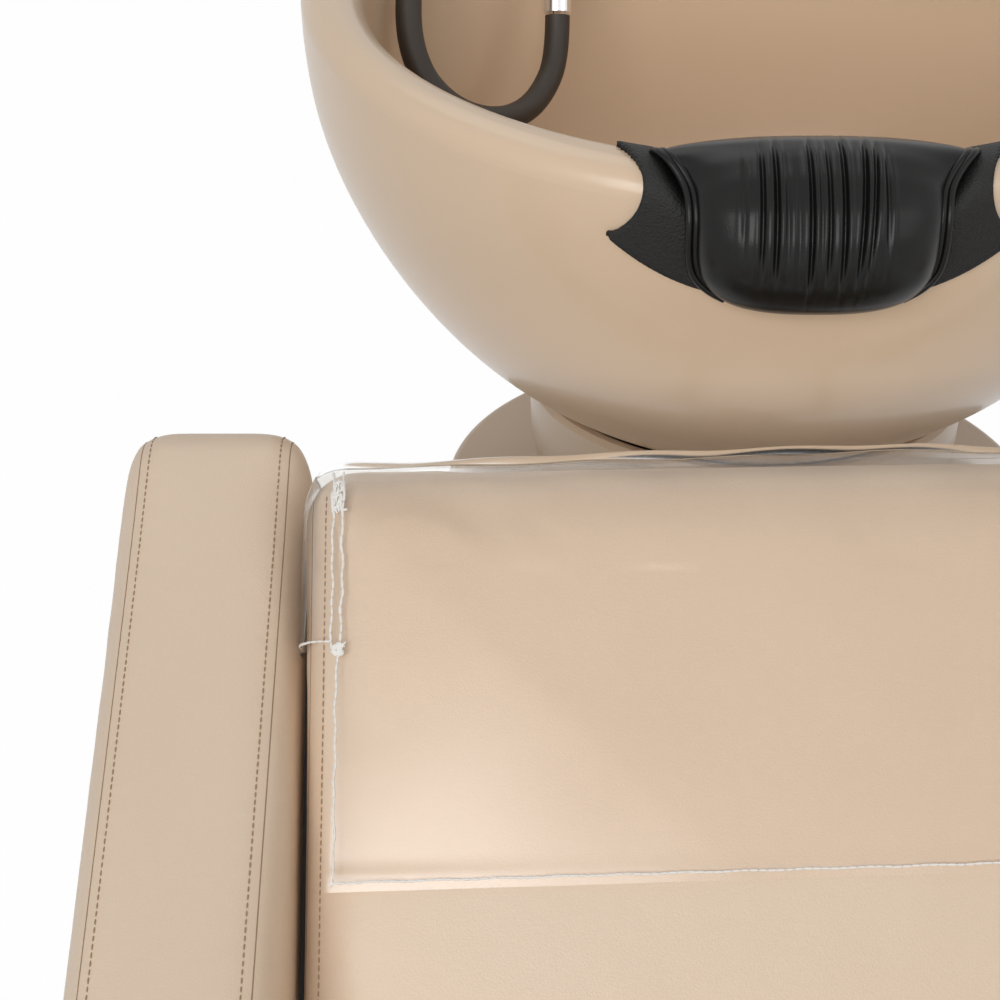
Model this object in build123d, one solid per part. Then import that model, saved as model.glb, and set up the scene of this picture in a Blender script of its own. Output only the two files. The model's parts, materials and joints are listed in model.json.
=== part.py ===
from build123d import *

import os
from math import cos, pi, radians, sin, tan

# Salon backwash unit: a deep basin that tilts on a round pedestal, with a reclined armchair in front.
# X runs across the chair, Y from the seat's front to the basin's back, Z up. The origin is on the
# floor, in the middle of the footprint. All lengths are in millimetres.

os.makedirs("parts", exist_ok=True)

# Overall sizes
overall_depth = 1360.0
half_depth = overall_depth / 2
seat_width = 494.0
arm_thickness = 90.0
arm_gap = 5.0
seat_height = 470.0
backrest_top_height = 850.0
recline_angle = 50.0
soft_gap = 0.4
overrun = 5.0

# Basin: its underside is part of a ball about the tilt axis
ball_radius = 262.0
basin_half_width = 274.0
basin_front_reach = 240.0
basin_rear_reach = 275.0
basin_axis_rise = 306.0
basin_floor_wall = 14.0
basin_rim_wall = 39.0
tap_deck_extra = 42.0
rim_slope_angle = 10.5
rim_front_drop = 14.0
rim_rounding = 16.0
floor_angle = 15.0
ball_zone_angle = 40.0
basin_sections = 7
basin_top_sections = 3
basin_top_step = 55.0
drain_radius = 24.0

# Neck notch and its rubber saddle
notch_radius = 100.0
notch_depth = 38.0
notch_fall_angle = 15.0
notch_cutter_length = 170.0
saddle_wall = 6.0
saddle_step = 10.0
saddle_reach = 27.0
piping_width = 6.0
piping_rise = 3.5
piping_angle = 39.0
horn_cut_radius = 38.0
horn_cut_side = 120.0
horn_cut_back = 10.0
horn_cut_drop = 16.0
pad_width = 118.0
pad_depth = 92.0
pad_height = 80.0
pad_rounding = 34.0
pad_rise = 10.0
fit_gap = 0.3

# Tilt rocker: arc slots in the rocker's cheeks ride on stub pins in the bracket
tilt_back_angle = 5.0
tilt_forward_angle = 7.0
slot_radius = 285.0
pin_radius = 6.0
pin_angle = 4.5
slot_clearance = 0.2
cheek_inner_radius = 264.0
cheek_outer_radius = 306.0
cheek_half_angle = 12.0
cheek_spacing = 84.0
plate_thickness = 6.0
cheek_side_gap = 1.0
rocker_plate_radius = 60.0
bracket_half_length = 46.0
bracket_flange = 8.0
bracket_flange_radius = 150.0
pin_head = 5.0

# Pedestal and collar
pedestal_height = 659.0
pedestal_foot_radius = 190.0
pedestal_waist_radius = 158.0
pedestal_top_radius = 192.0
pedestal_waist_height = 330.0
pedestal_wall = 6.0
pedestal_edge_rounding = 5.0
foot_flare_share = 0.15
head_flare_share = 0.1
pedestal_hole_radius = 112.0
pedestal_flange_inner = 115.0
pedestal_flange_thickness = 10.0
floor_bolt_circle = 290.0
floor_bolt_radius = 5.5
floor_bolt_count = 4
panel_width = 180.0
panel_bottom = 120.0
panel_top = 460.0
panel_gap = 1.5
panel_corner = 24.0
panel_lip = 12.0
mount_pad_width = 130.0
mount_pad_bottom = 16.0
mount_pad_top = 220.0
mount_pad_reach = 196.0
collar_height = 77.0
collar_radius = 138.0
collar_wall = 8.0
collar_foot_radius = 129.0
collar_lip = 3.0

# Waste line
tail_pipe_radius = 16.0
tail_pipe_bottom = 560.0
pipe_wall = 2.0
spigot_radius = 20.0
spigot_top = 120.0
spigot_bottom = 12.0
spigot_flange_radius = 34.0
strut_height = 40.0
hose_rib_count = 40
hose_rib_height = 3.0
hose_cuff = 25.0
flange_brim = 9.0
locknut_height = 12.0
locknut_grip = 8.0
strainer_hole_radius = 2.4
strainer_shares = ((1, 0), (6, 1 / 3), (12, 2 / 3))

# Tap, hand shower and hose
hose_radius = 8.0
union_radius = 8.9
union_length = 15.0
mixer_radius = 23.0
mixer_height = 74.0
mixer_x = 8.0
mixer_inset = 36.0
mixer_foot = 5.0
mixer_cap_height = 20.0
lever_length = 88.0
lever_width = 13.0
lever_rise = 14.0
lever_pin_radius = 3.0
pin_play = 0.05
handset_radius = 11.5
handset_length = 150.0
head_radius = 27.0
head_depth = 16.0
holder_radius = 15.5
holder_height = 110.0
holder_inset = 76.0
holder_post_height = 20.0
elbow_radius = 9.0
elbow_reach = 26.0
bend_share = 0.45
hose_route = [
    (-187, 141, 84),
    (-195, 114, 77),
    (-200, 89, 59),
    (-207, 67, 33),
    (-213, 47, 3),
    (-212, 31, -22),
    (-204, 21, -42),
    (-191, 17, -56),
    (-176, 23, -67),
    (-159, 35, -74),
    (-143, 55, -76),
    (-130, 79, -71),
    (-120, 103, -55),
    (-120, 114, -30),
]

# Upholstery
seat_thickness = 112.0
seat_setback = 12.0
board_inset = 24.0
back_edge_y = 58.0
back_thickness = 84.0
back_length = 470.0
crown_rise = 7.0
side_draw = 3.0
cushion_rounding = 22.0
board_thickness = 15.0
arm_rounding = 20.0
arm_base_height = 300.0
arm_base_turn = 40.0
arm_rear_y = -20.0
arm_tail_y = 155.0
arm_tail_height = 806.0
arm_tail_turn = 34.0
arm_peak_y = 130.0
arm_peak_height = 843.0
arm_peak_turn = 26.0
arm_dip_y = -175.0
arm_dip_height = 686.0
arm_dip_turn = 250.0
arm_front_height = 590.0
arm_front_turn = 70.0
cover_inset = 15.0
cover_gap = 1.2
cover_wall = 1.2
cover_front_drop = 180.0
cover_side_drop = 78.0
cover_back_drop = 150.0

# Steel frame
tube_width = 40.0
tube_height = 30.0
tube_wall = 2.0
rail_spacing = 400.0
foot_height = 16.0
foot_radius = 22.0
floor_rail_front = -620.0
seat_rail_front = -640.0
seat_rail_rear = -60.0
front_post_y = -520.0
rear_post_y = -110.0

# Worked-out places
basin_y = half_depth - basin_rear_reach
basin_axis_height = pedestal_height + basin_axis_rise
rim_front_height = basin_axis_height - rim_front_drop
seat_half = seat_width / 2
arm_inner = seat_half + arm_gap
arm_outer = arm_inner + arm_thickness
rim_front_y = basin_y - basin_front_reach + basin_rim_wall / 2
rim_plane = Plane(
    origin=(0, rim_front_y, rim_front_height),
    x_dir=(1, 0, 0),
    z_dir=(0, -sin(radians(rim_slope_angle)), cos(radians(rim_slope_angle))),
)
basin_bottom = basin_axis_height - ball_radius * cos(radians(floor_angle))
basin_floor = basin_axis_height - (ball_radius - basin_floor_wall) * cos(radians(floor_angle))
rail_base = foot_height
rail_top = rail_base + tube_height
board_top = seat_height - seat_thickness
seat_rail_top = board_top - board_thickness
recline = radians(recline_angle)
back_place = Plane(
    origin=(0, back_edge_y, backrest_top_height), x_dir=(1, 0, 0), z_dir=(0, -sin(recline), cos(recline))
)
hose_points = [(x, basin_y + y, basin_axis_height + z) for x, y, z in hose_route]
back_foot_y = back_edge_y - back_length * cos(recline) - soft_gap
written = {}


def keep(name, shape):
    """Write one named piece and remember it for later fits."""
    export_step(shape, f"parts/{name}.step")
    written[name] = shape
    return shape


def block(x_range, y_range, z_range):
    """A box between two values on each axis."""
    size = [high - low for low, high in (x_range, y_range, z_range)]
    middle = [(low + high) / 2 for low, high in (x_range, y_range, z_range)]
    return Pos(*middle) * Box(*size)


def rod(start, end, radius):
    """A round bar between two points."""
    line = Vector(*end) - Vector(*start)
    plane = Plane(origin=start, z_dir=line)
    return extrude(plane * Circle(radius), amount=line.length)


def tube(start, end, outer, inner):
    """A round pipe between two points."""
    return rod(start, end, outer) - rod(start, end, inner)


def mirrored(shape):
    """The same piece on the other side of the chair."""
    return mirror(shape, about=Plane.YZ)


def main_solid(shape):
    """The largest solid of a cut piece, without the crumbs beside it."""
    return sorted(shape.solids(), key=lambda solid: solid.volume)[-1]


def spread_share(angle):
    """0 in the ball zone of the basin's underside, 1 at its widest level."""
    start = sin(radians(ball_zone_angle))
    return max(0, (sin(radians(angle)) - start) / (1 - start)) ** 2


def oval_body(floor_offset, rim_offset, deck_offset):
    """A ball-bottomed oval that opens out upwards; the offsets shrink it at floor, rim and back."""
    sections = []
    for index in range(basin_sections):
        angle = floor_angle + (90 - floor_angle) * index / (basin_sections - 1)
        share = spread_share(angle)
        offset = floor_offset + (rim_offset - floor_offset) * share
        reaches = [
            (ball_radius + (reach - ball_radius) * share - offset) * sin(radians(angle))
            for reach in (basin_half_width, basin_front_reach, basin_rear_reach - deck_offset)
        ]
        height = basin_axis_height - (ball_radius - floor_offset) * cos(radians(angle))
        centre = basin_y + (reaches[2] - reaches[1]) / 2
        sections.append(Pos(0, centre, height) * Ellipse(reaches[0], (reaches[1] + reaches[2]) / 2))
    for index in range(1, basin_top_sections + 1):
        sections.append(Pos(0, 0, basin_top_step * index) * sections[basin_sections - 1])
    return loft(sections)


def basin_wall(grow):
    """The open basin with its full-round rim, thickened by grow on every side."""
    outer = oval_body(-grow, -grow, 0)
    inner = oval_body(basin_floor_wall + grow, basin_rim_wall + grow, tap_deck_extra)
    lid = rim_plane.offset(grow) * Box(
        overall_depth, overall_depth, overall_depth, align=(Align.CENTER, Align.CENTER, Align.MIN)
    )
    shell = outer - inner - lid
    rim = shell.faces().sort_by(Axis(rim_plane.origin, rim_plane.z_dir))[-1]
    return fillet(rim.edges(), rim_rounding + grow)


def notch_axis_plane():
    """The plane across the neck notch: its normal runs out over the rim and falls forwards."""
    fall = radians(notch_fall_angle)
    centre_height = rim_front_height - notch_depth + notch_radius
    return Plane(origin=(0, rim_front_y, centre_height), x_dir=(1, 0, 0), z_dir=(0, -cos(fall), -sin(fall)))


def notch_cylinder(radius):
    """A cylinder on the notch axis, long enough to pass through the front wall alone."""
    return notch_axis_plane() * Cylinder(radius, notch_cutter_length)


def make_basin():
    """The basin with its neck notch and waste hole, and the rubber and padding on the notch."""
    basin = basin_wall(0) - notch_cylinder(notch_radius)
    basin -= rod((0, basin_y, basin_bottom - overrun), (0, basin_y, basin_floor + overrun), drain_radius)
    basin = keep("basin", main_solid(basin))
    ring = notch_cylinder(notch_radius + saddle_reach) - notch_cylinder(notch_radius - saddle_step)
    saddle = (basin_wall(saddle_wall) & ring) - basin
    for side in (-1, 1):
        horn_y = rim_front_y + horn_cut_back
        horn = Pos(side * horn_cut_side, horn_y, rim_front_height - horn_cut_drop)
        saddle -= horn * Sphere(horn_cut_radius)
    saddle = keep("neck_saddle", main_solid(saddle))
    rib_ring = notch_cylinder(notch_radius + saddle_reach)
    rib_ring -= notch_cylinder(notch_radius - saddle_step - piping_rise)
    raised = basin_wall(saddle_wall + piping_rise) & rib_ring
    plane = notch_axis_plane()
    slab = Box(
        piping_width, notch_cutter_length, notch_cutter_length, align=(Align.CENTER, Align.MAX, Align.CENTER)
    )
    ribs = []
    for side in (-1, 1):
        rib = raised & (plane * (Rot(0, 0, side * piping_angle) * slab))
        ribs.append(main_solid(rib - saddle - basin))
    keep("neck_piping", Compound(ribs))
    centre = plane.origin - Vector(0, 0, notch_radius - pad_rise)
    block_of_foam = Box(pad_width, pad_depth, pad_height)
    pad = Pos(*centre) * fillet(block_of_foam.edges(), pad_rounding) - saddle - basin
    for rib in ribs:
        pad -= rib
    keep("neck_pad", main_solid(pad))


def band(radius, width, start, end, low_x, high_x):
    """A round-ended arc plate about the tilt axis, between two angles from straight down."""
    plane = Plane(origin=(low_x, basin_y, basin_axis_height), x_dir=(0, 1, 0), z_dir=(1, 0, 0))
    arc = CenterArc((0, 0), radius, start - 90, end - start)
    return extrude(plane * SlotArc(arc, height=width), amount=high_x - low_x)


def make_tilt_rocker():
    """Plate and slotted cheeks under the basin, the bracket beside them and its four pins."""
    plate_low = basin_bottom - plate_thickness
    rocker = rod((0, basin_y, plate_low), (0, basin_y, basin_bottom), rocker_plate_radius)
    cheek_x = cheek_spacing / 2
    middle = (cheek_inner_radius + cheek_outer_radius) / 2
    height = cheek_outer_radius - cheek_inner_radius
    cheek = band(middle, height, -cheek_half_angle, cheek_half_angle, cheek_x - plate_thickness, cheek_x)
    hanger_y = (basin_y - bracket_half_length, basin_y + bracket_half_length)
    cheek_sides = (cheek_x - plate_thickness, cheek_x)
    cheek += block(cheek_sides, hanger_y, (basin_axis_height - slot_radius, plate_low))
    slot_width = 2 * (pin_radius + slot_clearance)
    low = -pin_angle - tilt_forward_angle
    cheek -= band(slot_radius, slot_width, low, pin_angle + tilt_back_angle, 0, cheek_spacing)
    rocker += cheek + mirrored(cheek)
    rocker -= rod((0, basin_y, plate_low - overrun), (0, basin_y, basin_bottom + overrun), drain_radius)
    keep("tilt_rocker", rocker)

    deck = pedestal_height - pedestal_wall
    flange = rod((0, basin_y, deck - bracket_flange), (0, basin_y, deck), bracket_flange_radius)
    travel = slot_radius * sin(radians(tilt_forward_angle)) + 2 * tail_pipe_radius
    slot = SlotOverall(2 * travel, 3 * tail_pipe_radius, rotation=90)
    slot_place = Pos(0, basin_y, deck - bracket_flange - overrun)
    flange -= extrude(slot_place * slot, amount=bracket_flange + 2 * overrun)
    inner = cheek_x + cheek_side_gap
    outer = inner + plate_thickness
    top = basin_axis_height - slot_radius + 2 * pin_radius
    wall = block((inner, outer), hanger_y, (deck, top))
    wall = fillet(wall.edges().filter_by(Axis.X).group_by(Axis.Z)[-1], 2 * pin_radius)
    bracket = flange + wall + mirrored(wall)
    pins = []
    for side in (-1, 1):
        angle = radians(side * pin_angle)
        pin_y = basin_y + slot_radius * sin(angle)
        pin_z = basin_axis_height - slot_radius * cos(angle)
        inside = cheek_x - plate_thickness - cheek_side_gap
        pin = rod((inside, pin_y, pin_z), (outer, pin_y, pin_z), pin_radius)
        pin += rod((outer, pin_y, pin_z), (outer + pin_head, pin_y, pin_z), pin_radius + pin_head / 2)
        pins += [pin, mirrored(pin)]
        bracket -= rod((-outer, pin_y, pin_z), (outer, pin_y, pin_z), pin_radius)
    keep("tilt_bracket", bracket)
    keep("tilt_pins", Compound([pin.solids()[0] for pin in pins]))


def turned(points):
    """A ring or bowl turned about the basin's upright axis, from radius and height pairs."""
    outline = make_face(Polyline(*[(radius, 0, height) for radius, height in points], close=True))
    return Pos(0, basin_y, 0) * revolve(outline, Axis.Z)


def pedestal_body(inset):
    """The waisted pedestal column as a solid, drawn in by inset."""
    foot = pedestal_foot_radius - inset
    waist = pedestal_waist_radius - inset
    head = pedestal_top_radius - inset
    side = Spline(
        (foot, 0, 0),
        (waist, 0, pedestal_waist_height),
        (head, 0, pedestal_height),
        tangents=((-foot_flare_share, 0, 1), (head_flare_share, 0, 1)),
    )
    outline = side + Polyline((head, 0, pedestal_height), (0, 0, pedestal_height), (0, 0, 0), (foot, 0, 0))
    return Pos(0, basin_y, 0) * revolve(make_face(outline), Axis.Z)


def window(margin):
    """The rear access opening, grown by margin, as a cutter with rounded corners."""
    width = panel_width + 2 * margin
    height = panel_top - panel_bottom + 2 * margin
    plane = Plane(origin=(0, basin_y, (panel_top + panel_bottom) / 2), x_dir=(-1, 0, 0), z_dir=(0, 1, 0))
    return extrude(plane * RectangleRounded(width, height, panel_corner + margin), amount=overall_depth)


def make_pedestal():
    """Pedestal shell with floor flange, deck, mounting pad and rear panel, and the collar on top."""
    shell = pedestal_body(0)
    shell = fillet(shell.edges().group_by(Axis.Z)[-1], pedestal_edge_rounding)
    pad_y = basin_y - mount_pad_reach
    pad_half = mount_pad_width / 2
    shell += block((-pad_half, pad_half), (pad_y, basin_y), (mount_pad_bottom, mount_pad_top))
    hollow = pedestal_body(pedestal_wall)
    bore = rod((0, basin_y, -overrun), (0, basin_y, pedestal_flange_thickness), pedestal_flange_inner)
    deck = pedestal_height - pedestal_wall
    room = block(
        (-overall_depth, overall_depth), (-overall_depth, overall_depth), (pedestal_flange_thickness, deck)
    )
    shell -= (hollow & room) + bore
    shell -= rod((0, basin_y, deck - overrun), (0, basin_y, pedestal_height + overrun), pedestal_hole_radius)
    shell -= window(0)
    lip = (hollow - pedestal_body(pedestal_wall + panel_lip / 2)) & (window(panel_lip) - window(-panel_lip))
    shell += lip
    for index in range(floor_bolt_count):
        angle = 2 * pi * (index + 1 / 2) / floor_bolt_count
        x = floor_bolt_circle / 2 * cos(angle)
        y = basin_y + floor_bolt_circle / 2 * sin(angle)
        shell -= rod((x, y, -overrun), (x, y, pedestal_flange_thickness + overrun), floor_bolt_radius)
    keep("pedestal", shell)
    panel = (pedestal_body(0) - pedestal_body(pedestal_wall - fit_gap)) & window(-panel_gap)
    keep("access_panel", panel)
    top = pedestal_height + collar_height
    belly = pedestal_height + collar_height / 2
    collar = turned([
        (collar_foot_radius - collar_wall, pedestal_height),
        (collar_foot_radius, pedestal_height),
        (collar_radius - collar_lip / 2, belly),
        (collar_radius, top - collar_lip),
        (collar_radius - collar_lip, top),
        (collar_radius - collar_wall, top),
        (collar_radius - collar_wall - collar_lip / 2, belly),
    ])
    keep("collar", collar)


def make_waste():
    """Strainer flange, locknut, tail pipe, ribbed waste hose, floor spigot and its strut."""
    floor, bottom = basin_floor, basin_bottom - plate_thickness
    neck = drain_radius - fit_gap
    bore = neck - pipe_wall
    flange = turned([
        (bore, bottom - locknut_height), (neck, bottom - locknut_height), (neck, floor),
        (neck + flange_brim, floor), (neck + flange_brim - pipe_wall, floor + pipe_wall),
        (bore, floor + pipe_wall),
    ])
    keep("waste_flange", flange)
    strainer = rod((0, basin_y, floor - pipe_wall), (0, basin_y, floor), bore)
    for count, share in strainer_shares:
        for index in range(count):
            angle = 2 * pi * index / count
            x, y = share * bore * cos(angle), basin_y + share * bore * sin(angle)
            strainer -= rod((x, y, floor - 2 * pipe_wall), (x, y, floor + pipe_wall), strainer_hole_radius)
    keep("waste_strainer", strainer)
    nut_radius = neck + locknut_grip
    hexagon = Pos(0, basin_y, bottom - locknut_height) * RegularPolygon(nut_radius, 6)
    nut = extrude(hexagon, amount=locknut_height)
    nut -= rod((0, basin_y, 0), (0, basin_y, basin_axis_height), neck)
    keep("waste_locknut", nut)
    pipe = tail_pipe_radius
    step = bottom - locknut_height + pipe_wall
    keep("tail_pipe", turned([
        (pipe - pipe_wall, tail_pipe_bottom), (pipe, tail_pipe_bottom), (pipe, step - locknut_height),
        (bore - fit_gap, step), (bore - fit_gap, bottom), (bore - fit_gap - pipe_wall, bottom),
        (bore - fit_gap - pipe_wall, step), (pipe - pipe_wall, step - locknut_height),
    ]))
    strut_top = strut_height + plate_thickness
    keep("waste_spigot", turned([
        (pipe - pipe_wall, spigot_bottom), (spigot_radius, spigot_bottom), (spigot_radius, strut_height),
        (pipe, strut_height), (pipe, strut_top), (spigot_radius + flange_brim, strut_top),
        (spigot_radius + flange_brim, strut_top + pipe_wall), (pipe, strut_top + pipe_wall + pipe),
        (pipe, spigot_top), (pipe - pipe_wall, spigot_top),
    ]))
    strut_y = (basin_y - tube_width, basin_y + tube_width)
    strut = block((-overall_depth, overall_depth), strut_y, (strut_height, strut_top))
    strut &= pedestal_body(pedestal_wall)
    strut -= rod((0, basin_y, 0), (0, basin_y, basin_axis_height), pipe + fit_gap)
    keep("waste_strut", strut)
    low, high = spigot_top - hose_cuff, tail_pipe_bottom + hose_cuff
    pitch = (high - low) / hose_rib_count
    valley = pipe + fit_gap + pipe_wall
    crest = valley + hose_rib_height
    rings = []
    for index in range(hose_rib_count):
        for share, radius in ((0, valley), (1 / 4, valley), (1 / 2, crest), (3 / 4, crest)):
            rings.append(Pos(0, basin_y, low + pitch * (index + share)) * Circle(radius))
    rings.append(Pos(0, basin_y, high) * Circle(valley))
    hose = loft(rings, ruled=True) - rod((0, basin_y, 0), (0, basin_y, basin_axis_height), pipe + fit_gap)
    keep("waste_hose", hose)


def deck_place(x, y):
    """A plane lying on the tap deck at a plan position."""
    height = rim_front_height + (y - rim_front_y) * tan(radians(rim_slope_angle))
    return Plane(origin=(x, y, height), x_dir=(1, 0, 0), z_dir=rim_plane.z_dir)


def local_turned(place, points):
    """A turned piece on a local plane, from radius and height pairs."""
    outline = make_face(Polyline(*[(radius, 0, height) for radius, height in points], close=True))
    return place * revolve(outline, Axis.Z)


def make_mixer():
    """Single-lever mixer on the tap deck: fixed body, turning cap and lifting lever."""
    place = deck_place(mixer_x, half_depth - mixer_inset)
    keep("mixer_body", local_turned(place, [
        (0, 0), (mixer_radius + mixer_foot, 0), (mixer_radius + mixer_foot, mixer_foot),
        (mixer_radius, 2 * mixer_foot), (mixer_radius - pipe_wall, mixer_height), (0, mixer_height),
    ]))
    cap_low, cap_high = mixer_height + fit_gap, mixer_height + mixer_cap_height
    cap = Pos(0, 0, cap_low) * Cylinder(
        mixer_radius - pipe_wall, cap_high - cap_low, align=(Align.CENTER, Align.CENTER, Align.MIN)
    )
    cap = fillet(cap.edges().group_by(Axis.Z)[-1], mixer_cap_height / 3)
    slot_half = lever_width / 2 + 2 * fit_gap
    hub_z = (cap_low + cap_high) / 2
    hub_y = -mixer_radius / 3
    slot_y = (-2 * mixer_radius, hub_y + lever_width)
    cap -= block((-slot_half, slot_half), slot_y, (cap_low + pipe_wall, cap_high + overrun))
    axle = Rot(0, 90, 0) * Cylinder(lever_pin_radius, 2 * (mixer_radius - mixer_foot))
    cap -= Pos(0, hub_y, hub_z) * (Rot(0, 90, 0) * Cylinder(lever_pin_radius + pin_play, 4 * mixer_radius))
    keep("mixer_cap", place * cap)
    hub = Pos(0, hub_y, hub_z) * (Rot(0, 90, 0) * Cylinder(lever_width / 2, lever_width) + axle)
    tip = (0, hub_y - lever_length, hub_z + lever_rise)
    root = Plane(origin=(0, hub_y, hub_z), z_dir=(0, -lever_length, lever_rise))
    end = Plane(origin=tip, z_dir=(0, -lever_length, lever_rise))
    tip_oval = end * Ellipse(lever_width, lever_width / 4)
    blade = loft([root * Ellipse(lever_width / 2, lever_width / 3), tip_oval])
    keep("mixer_lever", place * (hub + blade))


def make_hand_shower():
    """Hand shower in its deck holder, the elbow that feeds it, and the hose between them."""
    tip = Vector(*hose_points[-1])
    along = (tip - Vector(*hose_points[-2])).normalized()
    grip = Plane(origin=tip, x_dir=(1, 0, 0), z_dir=along)
    keep("hose_union", local_turned(grip, [
        (0, 0), (union_radius - pipe_wall / 2, 0), (union_radius, pipe_wall),
        (union_radius, union_length), (0, union_length),
    ]))
    neck = handset_length * 5 / 6
    handle = local_turned(grip, [
        (0, union_length), (handset_radius - pipe_wall, union_length), (handset_radius, 2 * union_length),
        (handset_radius, handset_length / 2), (handset_radius * 3 / 4, neck),
        (handset_radius * 3 / 4, handset_length), (0, handset_length),
    ])
    facing = Vector(0, -along.Z, along.Y)
    head_origin = tip + along * handset_length + facing * head_depth / 4
    head_place = Plane(origin=head_origin, x_dir=(1, 0, 0), z_dir=facing)
    face = head_depth / 2
    handle += local_turned(head_place, [
        (0, -head_depth), (head_radius / 2, -head_depth), (head_radius, 0), (head_radius, face), (0, face),
    ])
    keep("hand_shower", handle)
    keep("shower_rose", local_turned(head_place, [
        (0, face), (head_radius - pipe_wall, face), (head_radius - 2 * pipe_wall, face + pipe_wall),
        (0, face + pipe_wall),
    ]))
    ring_place = Plane(origin=tip + along * holder_height, x_dir=(1, 0, 0), z_dir=along)
    post = deck_place(tip.X, half_depth - holder_inset)
    holder = local_turned(post, [
        (0, 0), (holder_radius, 0), (holder_radius, pipe_wall), (holder_radius / 2, 2 * pipe_wall),
        (holder_radius / 2, holder_post_height), (0, holder_post_height),
    ])
    top = post * Pos(0, 0, holder_post_height * 2 / 3)
    holder += rod(tuple(ring_place.origin), tuple(top.position), holder_radius / 3)
    holder += ring_place * Cylinder(holder_radius, holder_radius)
    holder -= ring_place * Cylinder(handset_radius + fit_gap, 3 * holder_radius)
    mouth = 3 * holder_radius
    gap = Box(handset_radius, mouth, mouth, align=(Align.CENTER, Align.MAX, Align.CENTER))
    holder -= ring_place * gap
    keep("shower_holder", main_solid(holder))
    start = Vector(*hose_points[0])
    heading = (Vector(*hose_points[1]) - start).normalized()
    corner = start - heading * elbow_reach
    rise = (corner - rim_plane.origin).dot(rim_plane.z_dir)
    base = Plane(origin=corner - rim_plane.z_dir * rise, x_dir=(1, 0, 0), z_dir=rim_plane.z_dir)
    path = FilletPolyline(base.origin, corner, start, radius=2 * elbow_radius)
    elbow = sweep(Plane(origin=base.origin, z_dir=base.z_dir) * Circle(elbow_radius), path)
    foot = 2 * elbow_radius
    elbow += local_turned(base, [(0, 0), (foot, 0), (foot, pipe_wall), (0, 2 * pipe_wall)])
    keep("hose_elbow", elbow)
    make_hose()


def make_hose():
    """The free stretch of shower hose: straight runs joined by tangent arcs."""
    points = [Vector(*point) for point in hose_points]
    radii = []
    for before, corner, after in zip(points, points[1:], points[2:]):
        turn = (corner - before).get_angle(after - corner)
        run = min((corner - before).length, (after - corner).length)
        radii.append(bend_share * run / tan(radians(turn / 2)))
    path = FilletPolyline(*points, radius=radii)
    start = Plane(origin=points[0], z_dir=points[1] - points[0])
    hose = sweep(start * Circle(hose_radius), path)
    print("hose bend radii", [round(radius) for radius in radii])
    print("hose length", path.length, "volume ratio", hose.volume / (pi * hose_radius**2 * path.length))
    keep("shower_hose", hose)


def cushion(width, length, thickness):
    """A crowned pad with drawn-in sides and soft edges, about its own middle."""
    body = Box(width, length, thickness)
    for span, turn in ((length, Rot(0, 90, 0)), (width, Rot(90, 0, 0))):
        radius = (span**2 / 4 + crown_rise**2) / (2 * crown_rise)
        body &= Pos(0, 0, thickness / 2 - radius) * (turn * Cylinder(radius, 2 * (width + length)))
    radius = (length**2 / 4 + side_draw**2) / (2 * side_draw)
    for side in (-1, 1):
        body -= Pos(side * (width / 2 - side_draw + radius), 0, 0) * Cylinder(radius, 2 * thickness)
    return fillet(body.edges(), cushion_rounding)


def make_seat():
    """Seat cushion on its board."""
    front = seat_setback - half_depth
    middle = (front + back_foot_y) / 2
    depth = back_foot_y - front
    seat_place = Pos(0, middle, seat_height - seat_thickness / 2)
    keep("seat_cushion", seat_place * cushion(seat_width, depth, seat_thickness))
    half = seat_half - board_inset
    board_y = (front + board_inset, back_foot_y - board_inset)
    board = block((-half, half), board_y, (board_top - board_thickness, board_top))
    keep("seat_board", fillet(board.edges().filter_by(Axis.Z), board_inset))


def make_back():
    """Reclined back cushion, its board, the two tubes that carry it and the clear slip-over cover."""
    middle = Pos(0, -back_length / 2, -back_thickness / 2)
    keep("back_cushion", back_place * middle * cushion(seat_width, back_length, back_thickness))
    half = seat_half - board_inset
    low = -back_thickness - board_thickness
    board = block((-half, half), (board_inset - back_length, -board_inset), (low, -back_thickness))
    board = fillet(board.edges().filter_by(Axis.Z), board_inset)
    keep("back_board", back_place * board)
    for name, side in (("left", -1), ("right", 1)):
        x = side * rail_spacing / 2
        size = (x - tube_width / 2, x + tube_width / 2)
        reach = (-2 * back_length, -cover_back_drop - board_thickness)
        bar = block(size, reach, (low - tube_height, low))
        wall = (size[0] + tube_wall, size[1] - tube_wall)
        bar -= block(wall, reach, (low - tube_height + tube_wall, low - tube_wall))
        post = back_place * bar
        sides = (-half_depth, half_depth)
        room = block(sides, sides, (seat_rail_top, backrest_top_height))
        keep(f"back_support_{name}", main_solid(post & room))
    skins = []
    for margin in (cover_gap, cover_gap + cover_wall):
        depth = back_thickness + board_thickness + 2 * margin
        sleeve = cushion(seat_width + 2 * margin, back_length + 2 * margin, depth)
        skins.append(Pos(0, -back_length / 2, margin - depth / 2) * sleeve)
    far = overall_depth
    top = block((-far, far), (-cover_side_drop, far), (-far, far))
    flap = seat_half - cover_inset
    split = -back_thickness / 2
    front = block((-flap, flap), (-cover_front_drop, 0), (split, far))
    rear = block((-flap, flap), (-cover_back_drop, 0), (-far, split))
    cover = (skins[1] - skins[0]) & (top + front + rear)
    keep("clear_cover", back_place * main_solid(cover))


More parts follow.
